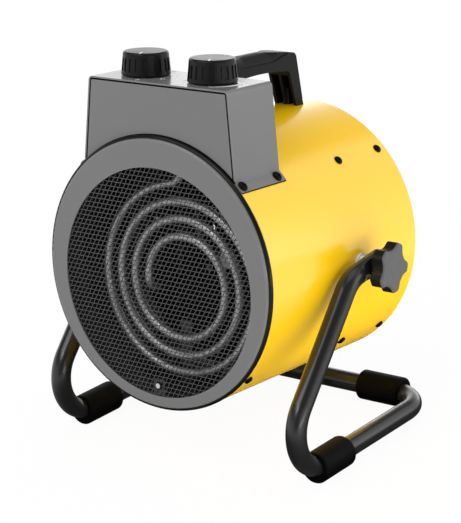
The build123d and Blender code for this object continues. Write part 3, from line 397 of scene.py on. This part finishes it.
ceramic = finish_of(
    "white_ceramic", (0.78, 0.76, 0.7), (0.7, 0.68, 0.62), (0.15, 0.25), bump=0.06, grain=800
)
nylon = finish_of(
    "pale_nylon", (0.72, 0.7, 0.62), (0.64, 0.62, 0.55), (0.35, 0.5), bump=0.12, grain=1500
)
motor_paint = finish_of(
    "motor_lacquer", (0.014, 0.014, 0.015), (0.02, 0.02, 0.02), (0.3, 0.45), bump=0.12,
    grain=1100,
)
# the fan is painted near black, as shade deep inside the barrel
fan_metal = finish_of(
    "fan_aluminium", (0.006, 0.006, 0.0062), (0.005, 0.005, 0.0052), (0.5, 0.6), bump=0.08,
    grain=900, Specular_IOR_Level=0.03,
)
rear_black = finish_of(
    "rear_black", (0.012, 0.012, 0.0125), (0.009, 0.009, 0.0095), (0.3, 0.4), bump=0.12,
    grain=1500, worn=(0.025, 0.025, 0.025),
)
print_white = finish_of(
    "printed_white", (0.8, 0.8, 0.8), (0.72, 0.72, 0.72), (0.45, 0.6), bump=0.1, grain=2500
)

FADE = 0.3  # millimetres over which one finish turns into another

# only the barrel's outside is enamelled; its inside is dull and painted near black as shade
outside = yellow.beyond(yellow.from_axis(pivot, axis), BARREL_INSIDE - FADE, BARREL_INSIDE)
yellow.set(
    Base_Color=yellow.blend(outside, (0.006, 0.006, 0.006), yellow.tone),
    Roughness=yellow.spread(outside, 0.85, 0.23, 0, 1),
    Coat_Weight=yellow.spread(outside, 0, 0.6, 0, 1),
    Specular_IOR_Level=yellow.spread(outside, 0.02, 0.5, 0, 1),
)

# the sheath is dark behind the spiral, where the heat shield shades it
behind_front = sheath.vector(
    "DOT_PRODUCT",
    sheath.vector("SUBTRACT", sheath.place, tuple(HEATER.translation)),
    tuple(HEATER.to_3x3() @ Vector((0, 1, 0))),
)
shaded = sheath.beyond(behind_front, *ELEMENT_SHADED)
sheath.set(Base_Color=sheath.blend(shaded, sheath.tone, (0.02, 0.02, 0.02)))

# the star knobs' faces are painted paler than their sides: a painted sheen for the light their matt texture
# catches
sideways = star_black.vector("ABSOLUTE", star_black.place)
from_middle = star_black.vector("DOT_PRODUCT", sideways, (1, 0, 0))
painted_sheen_face = star_black.beyond(from_middle, STAR_FACE, STAR_FACE + FADE)
star_black.set(Base_Color=star_black.blend(painted_sheen_face, star_black.tone, (0.095, 0.095, 0.096)))

# the rivet's rim is painted dark as shade, leaving its middle bright
rivet_low, rivet_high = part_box("grille_rivet")
rivet_middle = (Vector(rivet_low) + Vector(rivet_high)) / 2
rim = rivet.beyond(rivet.from_axis(rivet_middle, axis), *RIVET_SHADE_RADII)
rivet.set(Base_Color=rivet.blend(rim, rivet.tone, (0.02, 0.02, 0.02)))

FINISH_OF_SLOT = {
    "yellow_enamel": yellow,
    "grey_enamel": grey,
    "black_rubber": rubber,
    "plated_wire": wire,
    "zinc_steel": zinc,
    "bright_steel": bright,
    "element_sheath": sheath,
    "white_ceramic": ceramic,
    "moulded_black": moulded,
    "pale_nylon": nylon,
    "motor_can": motor_paint,
    "fan_aluminium": fan_metal,
    "rear_black": rear_black,
    "black_enamel": tube_black,
}
FINISH_OF_NODE = {
    "rim_seal": seal_rubber,
    "carry_handle": handle_black,
    "pivot_washers": washer_zinc,
    "star_knob_right": star_black,
    "star_knob_left": star_black,
    "grille_rivet": rivet,
}
for part in frame["record"]["subparts"]:
    node, slot = part["node"], part["material_slot"]
    materials = nodes[node].data.materials
    materials.clear()
    materials.append(FINISH_OF_NODE.get(node, FINISH_OF_SLOT[slot]).material)


# --- mesh tools -------------------------------------------------------------------------


def close_up(mesh):
    """Join points that coincide, and turn all faces outward."""
    shape = bmesh.new()
    shape.from_mesh(mesh)
    bmesh.ops.remove_doubles(shape, verts=shape.verts, dist=SAME_POINT * MM)
    bmesh.ops.recalc_face_normals(shape, faces=shape.faces)
    shape.to_mesh(mesh)
    shape.free()


def piece(name, points, faces, body, finish, smooth=False):
    """Object from points in millimetres in the heater's frame, riding on a body."""
    mesh = bpy.data.meshes.new(name)
    mesh.from_pydata([HEATER @ (Vector(p) * MM) for p in points], [], faces)
    mesh.validate()
    close_up(mesh)
    if smooth:
        mesh.shade_smooth()
    made = bpy.data.objects.new(name, mesh)
    bpy.context.scene.collection.objects.link(made)
    mesh.materials.append(finish.material)
    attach(made, body)
    return made


def loft(points, faces, rings):
    """Add a capped skin through rings of equally many points to a mesh's lists."""
    base, sides = len(points), len(rings[0])
    for ring in rings:
        points.extend(ring)
    for start in range(base, len(points) - sides, sides):
        for k in range(sides):
            a, b = start + k, start + (k + 1) % sides
            faces.append((a, b, b + sides, a + sides))
    for start in (base, len(points) - sides):
        faces.append(tuple(range(start, start + sides)))


def lofted(name, rings, finish):
    """Piece of the heater that is one loft."""
    points, faces = [], []
    loft(points, faces, rings)
    return piece(name, points, faces, "heater", finish)


def circle(radius, sides):
    """Points of a circle round the origin, as (x, y) pairs."""
    turns = [2 * math.pi * k / sides for k in range(sides)]
    return [(radius * math.cos(turn), radius * math.sin(turn)) for turn in turns]


def tube(points, faces, line, radius, sides):
    """Add a tube along a line of points to a mesh's lists."""
    rings = []
    for i, spot in enumerate(line):
        ahead = (line[min(i + 1, len(line) - 1)] - line[max(i - 1, 0)]).normalized()
        across = ahead.cross(Vector((0, 1, 0))).normalized()
        upright = across.cross(ahead)
        rings.append([spot + x * across + y * upright for x, y in circle(radius, sides)])
    loft(points, faces, rings)


def round_barrel(radius, turn, y):
    """Point at an angle round the barrel's axis."""
    return (radius * math.cos(turn), y, radius * math.sin(turn))


# --- woven mesh -------------------------------------------------------------------------


def chord(start, along, reach):
    """The stretch of a line inside a circle round the origin, as two distances."""
    middle = -start.dot(along)
    near = start + middle * along
    if near.length >= reach:
        return None
    half = math.sqrt(reach**2 - near.length**2)
    return middle - half, middle + half


def weave_wire(points, faces, start, along, step, swing):
    """Add a wire of the mesh that swings out and in where it meets the others."""
    stretch = chord(start, along, MESH_REACH)
    if stretch is None:
        return
    first, last = stretch
    steps = max(2, int((last - first) / step))
    line = []
    for i in range(steps + 1):
        spot = start + (first + (last - first) * i / steps) * along
        row = spot.y / ROW_PITCH
        column = (spot.x - spot.y / math.tan(WIRE_LEAN)) / COLUMN_PITCH
        y = MESH_DEPTH + swing * math.cos(math.pi * (row + column))
        line.append(Vector((spot.x, y, spot.y - OPENING_DROP)))
    tube(points, faces, line, WIRE_RADIUS, WIRE_SIDES)


def woven_mesh():
    """Woven wires in place of the front mesh's plain sheet."""
    points, faces = [], []
    level = Vector((1, 0))
    leaning = Vector((math.cos(WIRE_LEAN), math.sin(WIRE_LEAN)))
    rows = int(MESH_REACH / ROW_PITCH) + 1
    for row in range(-rows, rows + 1):
        start = Vector((0, row * ROW_PITCH))
        weave_wire(points, faces, start, level, ROW_WIRE_STEP, WEAVE)
    columns = int(2 * MESH_REACH / COLUMN_PITCH) + 1
    for column in range(-columns, columns + 1):
        start = Vector((column * COLUMN_PITCH, 0))
        weave_wire(points, faces, start, leaning, COLUMN_WIRE_STEP, -WEAVE)
    made = piece("woven_mesh", points, faces, "heater", wire, smooth=True)
    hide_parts("front_grille")


woven_mesh()


# --- screws -----------------------------------------------------------------------------


def held(value):
    """The value, held between 0 and 1."""
    return max(0.0, min(1.0, value))


def head_height(x, y, head_radius):
    """Height of a screw's head over its seat, with the cross cut into its dome."""
    share = math.hypot(x, y) / head_radius
    dome = HEAD_HEIGHT * math.sqrt(1 - (share * DOME_REACH) ** DOME_POWER)
    size = head_radius / HEAD_RADIUS
    across, along = sorted((abs(x), abs(y)))
    inside = held((CROSS_HALF_WIDTH * size - across) / CROSS_SIDE_RUN)
    inside *= held((CROSS_REACH * size - along) / CROSS_END_RUN)
    return dome - CROSS_DEPTH * inside


def screw(points, faces, seat, head_radius):
    """Add a screw that sits on a place's origin, with +Z outward, to a mesh's lists."""
    spun = seat @ Matrix.Rotation(random.uniform(0, math.pi / 2), 4, "Z")
    rings = []
    for i in range(1, HEAD_RINGS):
        flat = circle(i * head_radius / HEAD_RINGS, HEAD_SIDES)
        rings.append([spun @ Vector((x, y, head_height(x, y, head_radius))) for x, y in flat])
    for z in (HEAD_RIM, -SEAT_DEPTH):
        rings.append([spun @ Vector((x, y, z)) for x, y in circle(head_radius, HEAD_SIDES)])
    loft(points, faces, rings)
    shank = circle(SHANK_RADIUS, SHANK_SIDES)
    ends = [[seat @ Vector((x, y, z)) for x, y in shank] for z in (0, -SHANK_LENGTH)]
    loft(points, faces, ends)


def spoke(angle, y, radius):
    """Place whose +Z points away from the barrel's axis."""
    turn = math.radians(angle)
    out = Vector((math.cos(turn), 0, math.sin(turn)))
    side = Vector((0, 1, 0))
    columns = Matrix((side, out.cross(side), out)).transposed().to_4x4()
    return Matrix.Translation((radius * out.x, y, radius * out.z)) @ columns


def screws(node, angles, rows=1, radius=BARREL_RADIUS, head_radius=HEAD_RADIUS):
    """Screws with crossed heads, in one row or two along the barrel as a node has them."""
    low, high = level_box(node)
    depths = (low.y + HEAD_RADIUS, high.y - HEAD_RADIUS)[:rows]
    points, faces = [], []
    for angle in angles:
        for y in depths:
            screw(points, faces, spoke(angle, y, radius), head_radius)
    made = piece(
        node + "_cross", points, faces, "heater", screw_black, smooth=True
    )
    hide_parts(node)


random.seed(7)
upper, lower, flange = (
    (angle, 180 - angle) for angle in (UPPER_SCREWS, LOWER_SCREWS, BOX_SCREWS)
)
screws("bracket_screws", upper + lower)
screws("rear_grille_screws", upper + lower)
screws("ring_screws", lower)
screws("box_screws", flange, 2, BARREL_RADIUS + BOX_SHEET, BOX_HEAD_RADIUS)


# --- the box's rubber and sealant -------------------------------------------------------


def box_line(inset):
    """Half of the box's outline drawn in by inset, from the top's middle to a foot."""
    radius = BOX_BEND - inset
    z = BOX_TOP - BOX_BEND
    x = (WALL_REACH - BOX_BEND - z * math.sin(WALL_SLANT)) / math.cos(WALL_SLANT)
    line = [(0.0, BOX_TOP - inset)]
    for i in range(BEND_STEPS + 1):
        turn = math.pi / 2 + (WALL_SLANT - math.pi / 2) * i / BEND_STEPS
        line.append((x + radius * math.cos(turn), z + radius * math.sin(turn)))
    reach = WALL_REACH - inset
    out = Vector((math.cos(WALL_SLANT), math.sin(WALL_SLANT)))
    up = Vector((-out.y, out.x))
    foot = out * reach + up * math.sqrt(BEAD_FOOT**2 - reach**2)
    line.append(tuple(foot))
    return line


def gap_shade_bead(name, end, inward):
    """Dark bead of painted shade in the gap round an end panel, where inward is 1 or -1 along Y."""
    outer, inner = (box_line(inset) for inset in BEAD_INSETS)
    middle = box_line(sum(BEAD_INSETS) / 2)
    near, far = (end + inward * depth for depth in BEAD_DEPTHS)
    crown = near - inward * BEAD_CROWN
    rings = []
    for side, order in ((-1, reversed(range(len(outer)))), (1, range(1, len(outer)))):
        for i in order:
            section = (
                (outer[i], near), (middle[i], crown), (inner[i], near), (inner[i], far),
                (outer[i], far),
            )
            rings.append([(side * x, y, z) for (x, z), y in section])
    lofted(name, rings, rubber)


def panel_edge_rubber_and_shade():
    """Rubber between the front panel's curved edge and the barrel; it also stands as painted shade in that gap."""
    low_radius, high_radius = EDGE_RADII
    section = (
        (low_radius, EDGE_FRONT), (high_radius - EDGE_CHAMFER, EDGE_FRONT),
        (high_radius, EDGE_SHOULDER), (high_radius, EDGE_REAR), (low_radius, EDGE_REAR),
    )
    rings = []
    for i in range(EDGE_STEPS + 1):
        turn = EDGE_FROM + (math.pi - 2 * EDGE_FROM) * i / EDGE_STEPS
        rings.append([round_barrel(radius, turn, y) for radius, y in section])
    lofted("panel_edge_rubber_and_shade", rings, rubber)


def flange_shade_line(name, right):
    """Dark line of painted shadow along the foot of a flange."""
    base = EDGE_RADII[0]
    outer_height, inner_height = SHADE_LINE_HEIGHTS
    foot, flange_side = FLANGE_FOOT - SHADE_LINE_WIDTH, FLANGE_FOOT + SHADE_LINE_OVERLAP
    section = (
        (base, foot), (base + outer_height, foot),
        (base + inner_height, flange_side), (base, flange_side),
    )
    rings = []
    for y in (BOX_FRONT + SHADE_LINE_SHORT, BOX_REAR - SHADE_LINE_SHORT):
        rings.append([round_barrel(r, turn if right else math.pi - turn, y) for r, turn in section])
    lofted(name, rings, rubber)


# the dark pieces below fill gaps round the box with painted shade; the one under the front panel is also its
# rubber edging
gap_shade_bead("front_panel_shade_bead", BOX_FRONT, 1)
gap_shade_bead("rear_panel_shade_bead", BOX_REAR, -1)
panel_edge_rubber_and_shade()
flange_shade_line("flange_shade_line_right", True)
flange_shade_line("flange_shade_line_left", False)


# --- printed marks and pointers ---------------------------------------------------------


def round_dial(side, radius, turn):
    """Spot on the box's top at an angle round a dial; side is 1 for the right dial."""
    return side * KNOB_X + radius * math.cos(turn), KNOB_Y + radius * math.sin(turn)


def selector_spot(setting):
    """Spot of the mark of one of the selector's settings, which are 0 to 3."""
    return round_dial(-1, MARK_RADIUS, math.radians(SELECTOR_START + SELECTOR_STEP * setting))


def thermostat_scale():
    """Scale round the thermostat's dial that widens as far as its middle."""
    rings = []
    for i in range(SCALE_STEPS + 1):
        share = i / SCALE_STEPS
        turn = math.radians(THERMOSTAT_START + THERMOSTAT_SWEEP * share)
        growth = math.sin(math.pi / 2 * min(1, share / SCALE_WIDENS_OVER))
        narrow, wide = SCALE_WIDTHS
        far = SCALE_RADIUS + narrow + (wide - narrow) * growth
        near_spot, far_spot = (round_dial(1, radius, turn) for radius in (SCALE_RADIUS, far))
        rings.append(
            [
                (*near_spot, PRINT_BASE), (*near_spot, PRINT_TOP),
                (*far_spot, PRINT_TOP), (*far_spot, PRINT_BASE),
            ]
        )
    lofted("thermostat_scale", rings, print_white)


def printed(name, text, x, y):
    """Printed characters on the box's top, upright for someone in front of it."""
    letters = bpy.data.curves.new(name + "_letters", "FONT")
    letters.body = text
    letters.size = MARK_HEIGHT / CAPITAL_SHARE
    letters.align_x = "CENTER"
    letters.align_y = "CENTER"
    letters.extrude = (PRINT_TOP - PRINT_BASE) / 2
    holder = bpy.data.objects.new(name + "_letters", letters)
    mesh = bpy.data.meshes.new_from_object(holder)
    middle = Vector((x, y, (PRINT_TOP + PRINT_BASE) / 2))
    points = [vertex.co + middle for vertex in mesh.vertices]
    faces = [tuple(face.vertices) for face in mesh.polygons]
    bpy.data.objects.remove(holder)
    bpy.data.meshes.remove(mesh)
    piece(name, points, faces, "heater", print_white)


def fan_sign(name, x, y):
    """Three blades round a spot."""
    points, faces = [], []
    half_length, half_width = BLADE_HALVES
    for blade in range(BLADES):
        turned = Matrix.Rotation(2 * math.pi * blade / BLADES + BLADE_LEAN, 2)
        outline = []
        for along, across in circle(1, BLADE_SIDES):
            outline.append(
                turned @ Vector((BLADE_MIDDLE + half_length * along, half_width * across))
            )
        rings = [[(x + p.x, y + p.y, z) for p in outline] for z in (PRINT_TOP, PRINT_BASE)]
        loft(points, faces, rings)
    piece(name, points, faces, "heater", print_white)


def pointer(dial, side, angle):
    """Raised line on a dial's top, at the start of the dial's marks."""
    turn = math.radians(angle)
    across = POINTER_HALF_WIDTH * Vector((-math.sin(turn), math.cos(turn)))
    near, far = (Vector(round_dial(side, radius, turn)) for radius in POINTER_REACH)
    outline = (near - across, far - across, far + across, near + across)
    points, faces = [], []
    loft(points, faces, [[(*p, z) for p in outline] for z in (POINTER_BASE, POINTER_TOP)])
    piece(dial + "_pointer", points, faces, dial + "_dial", print_white)


thermostat_scale()
for name, text, setting in (("mark_0", "0", 0), ("mark_1", "1", 2), ("mark_2", "2", 3)):
    printed(name, text, *selector_spot(setting))
pointer("thermostat", 1, THERMOSTAT_START)
pointer("selector", -1, SELECTOR_START)
fan_sign("mark_fan", *selector_spot(1))


# --- camera -----------------------------------------------------------------------------

PHOTO_HEIGHT = 523  # pixels
FOCAL_LENGTH = 1937.0  # in the photograph's pixels
SENSOR = 36
CAMERA_SPOT = (929.56, -1139.79, 394.03)  # in the heater's frame, as the angles are
CAMERA_YAW = math.radians(36.90)
CAMERA_PITCH = math.radians(14.62)
CAMERA_ROLL = math.radians(-0.50)


def add_camera():
    """Camera where the photograph's was."""
    level = math.cos(CAMERA_PITCH)
    back = Vector(
        (math.sin(CAMERA_YAW) * level, -math.cos(CAMERA_YAW) * level, math.sin(CAMERA_PITCH))
    )
    right = Vector((math.cos(CAMERA_YAW), math.sin(CAMERA_YAW), 0))
    up = back.cross(right)
    right_rolled = math.cos(CAMERA_ROLL) * right + math.sin(CAMERA_ROLL) * up
    up_rolled = -math.sin(CAMERA_ROLL) * right + math.cos(CAMERA_ROLL) * up
    data = bpy.data.cameras.new("camera")
    data.sensor_width = SENSOR
    data.sensor_height = SENSOR
    data.lens = FOCAL_LENGTH * SENSOR / PHOTO_HEIGHT
    data.clip_start = 0.05
    data.clip_end = 50
    camera = bpy.data.objects.new("camera", data)
    camera.matrix_world = (
        HEATER
        @ Matrix.Translation(Vector(CAMERA_SPOT) * MM)
        @ Matrix((right_rolled, up_rolled, back)).transposed().to_4x4()
    )
    bpy.context.scene.collection.objects.link(camera)
    bpy.context.scene.camera = camera


add_camera()


# --- floor and world, in metres ---------------------------------------------------------

FLOOR_HALF = 6
FLOOR_PATCHES = 2  # per metre
FLOOR_WHITE = 0.95  # share of the floor's look near the object that is plain white
FLOOR_WHITENS = (0.2, 0.9)  # distances between which it turns all white

# glossy surfaces see a painted shadow on the floor, dark in an oval under the object, and white further out
GLOSS_FLOOR = 0.05
FLOOR_DARK_CENTRE = (0.02, 0.1, 0)
FLOOR_DARK_SHRINK = (1 / 0.2, 1 / 0.28, 0)  # one over the oval's half widths
FLOOR_BRIGHTENS = (0.95, 1.9)  # in half widths

# the world's strength as light, and as glossy surfaces see its sky and its low band
SKY_LIGHT = 0.66
GLOSS_SKY = 0.13
GLOSS_BAND = 1.0

# where those lie, as parts of a direction of length 1
WHITE_TO_DARK_UP = (0.33, 0.55)
DARK_TO_WHITE_BACK = (0.05, 0.5)
BAND_UP = (0.2, 0.45)
BAND_TO_RIGHT = (-0.2, 0.35)


def studio_floor():
    """Pale floor that the camera and glossy surfaces see as white, with its shadow."""
    mesh = bpy.data.meshes.new("studio_floor")
    corners = [(FLOOR_HALF * x, FLOOR_HALF * y, 0) for x, y in ((-1, -1), (1, -1), (1, 1), (-1, 1))]
    mesh.from_pydata(corners, [], [(0, 1, 2, 3)])
    floor = bpy.data.objects.new("studio_floor", mesh)
    bpy.context.scene.collection.objects.link(floor)

    made = Finish("studio_floor")
    patches = made.spread(made.noise(FLOOR_PATCHES), 0, 1)
    made.set(
        Base_Color=made.blend(patches, (0.93, 0.93, 0.93), (0.91, 0.91, 0.91)), Roughness=0.7
    )
    offset = made.vector("SUBTRACT", made.place, FLOOR_DARK_CENTRE)
    from_dark = made.vector("LENGTH", made.vector("MULTIPLY", offset, FLOOR_DARK_SHRINK))
    brightness = made.spread(from_dark, GLOSS_FLOOR, 1, *FLOOR_BRIGHTENS)
    mirrored = made.add("Emission", {"Strength": brightness}).outputs[0]
    seen = made.choose(made.is_ray("Is Glossy Ray"), made.surface.outputs[0], mirrored)

    share = made.spread(made.vector("LENGTH", made.place), FLOOR_WHITE, 1, *FLOOR_WHITENS)
    direct = made.is_ray("Is Camera Ray", "Is Transmission Ray")
    white = made.add("Emission").outputs[0]
    whitened = made.choose(made.calculate("MULTIPLY", direct, share), seen, white)
    made.fill(made.out.inputs["Surface"], whitened)
    mesh.materials.append(made.material)


def studio_world():
    """White for the camera, soft for light, and a white horizon under a darker sky for gloss."""
    world = bpy.data.worlds.new("studio")
    bpy.context.scene.world = world
    made = Nodes(world)

    def glow(strength):
        return made.add("Background", {"Color": (1, 1, 1), "Strength": strength}).outputs[0]

    def ramp(value, start, end, low=0, high=1):
        return made.spread(value, low, high, start, end, "SMOOTHSTEP")

    white, soft = glow(1.0), glow(SKY_LIGHT)
    sky, band = glow(GLOSS_SKY), glow(GLOSS_BAND)
    direction = made.add("TexCoord").outputs["Generated"]
    x, y, z = made.add("SeparateXYZ", {0: direction}).outputs

    # a low band shows before the dark sky on the left, the horizon is white at the back,
    # and that white reaches higher on the right, as from a tall screen
    left = made.choose(ramp(x, *BAND_TO_RIGHT), band, sky)
    before = made.choose(ramp(z, *BAND_UP), left, sky)
    horizon = made.choose(ramp(y, *DARK_TO_WHITE_BACK, 1, 0), white, before)
    height = made.calculate("SUBTRACT", z, made.calculate("MAXIMUM", x, 0))
    gloss = made.choose(ramp(height, *WHITE_TO_DARK_UP), horizon, sky)

    lit = made.choose(made.is_ray("Is Glossy Ray"), soft, gloss)
    seen = made.choose(made.is_ray("Is Camera Ray", "Is Transmission Ray"), lit, white)
    made.add("OutputWorld", {"Surface": seen})


studio_floor()
studio_world()


# --- lamps ------------------------------------------------------------------------------

MIDDLE = (0, 0, 0.16)
# name, place, what it looks at, width and height, power, whether gloss shows it
LAMPS = (
    ("key_right", (1.9, -0.6, 0.45), MIDDLE, (1.6, 0.8), 3.5, True),
    ("low_right", (1.6, -0.3, 0.08), MIDDLE, (1.2, 0.14), 4, True),
    ("bounce", (0.2, 0.08, 0.01), (0.2, 0.08, 1), (0.34, 0.4), 0.6, False),
    ("front_left", (-0.3, -0.8, 1.15), MIDDLE, (1.0, 0.5), 5, True),
    ("front", (0.1, -1.6, 1.45), MIDDLE, (0.8, 0.5), 6, True),
    ("top", (0.3, 0.3, 2.0), MIDDLE, (1.6, 1.2), 6, True),
    ("rear_right", (1.7, 1.15, 0.6), MIDDLE, (1.3, 1.1), 5, True),
    ("rear_left", (-1.2, 1.55, 0.62), MIDDLE, (1.0, 0.5), 1.4, True),
    ("rear_low", (-0.6, 1.9, 0.3), MIDDLE, (1.6, 0.4), 3, True),
)


def soft_box(name, spot, aim, size, power, in_gloss):
    """Rectangular lamp that looks at a point."""
    data = bpy.data.lights.new(name, "AREA")
    data.shape = "RECTANGLE"
    data.size, data.size_y = size
    data.energy = power
    lamp = bpy.data.objects.new(name, data)
    away = Vector(spot) - Vector(aim)
    lamp.matrix_world = (
        Matrix.Translation(spot) @ away.to_track_quat("Z", "Y").to_matrix().to_4x4()
    )
    lamp.visible_glossy = in_gloss
    bpy.context.scene.collection.objects.link(lamp)


for values in LAMPS:
    soft_box(*values)

bpy.context.scene.view_settings.view_transform = "Standard"
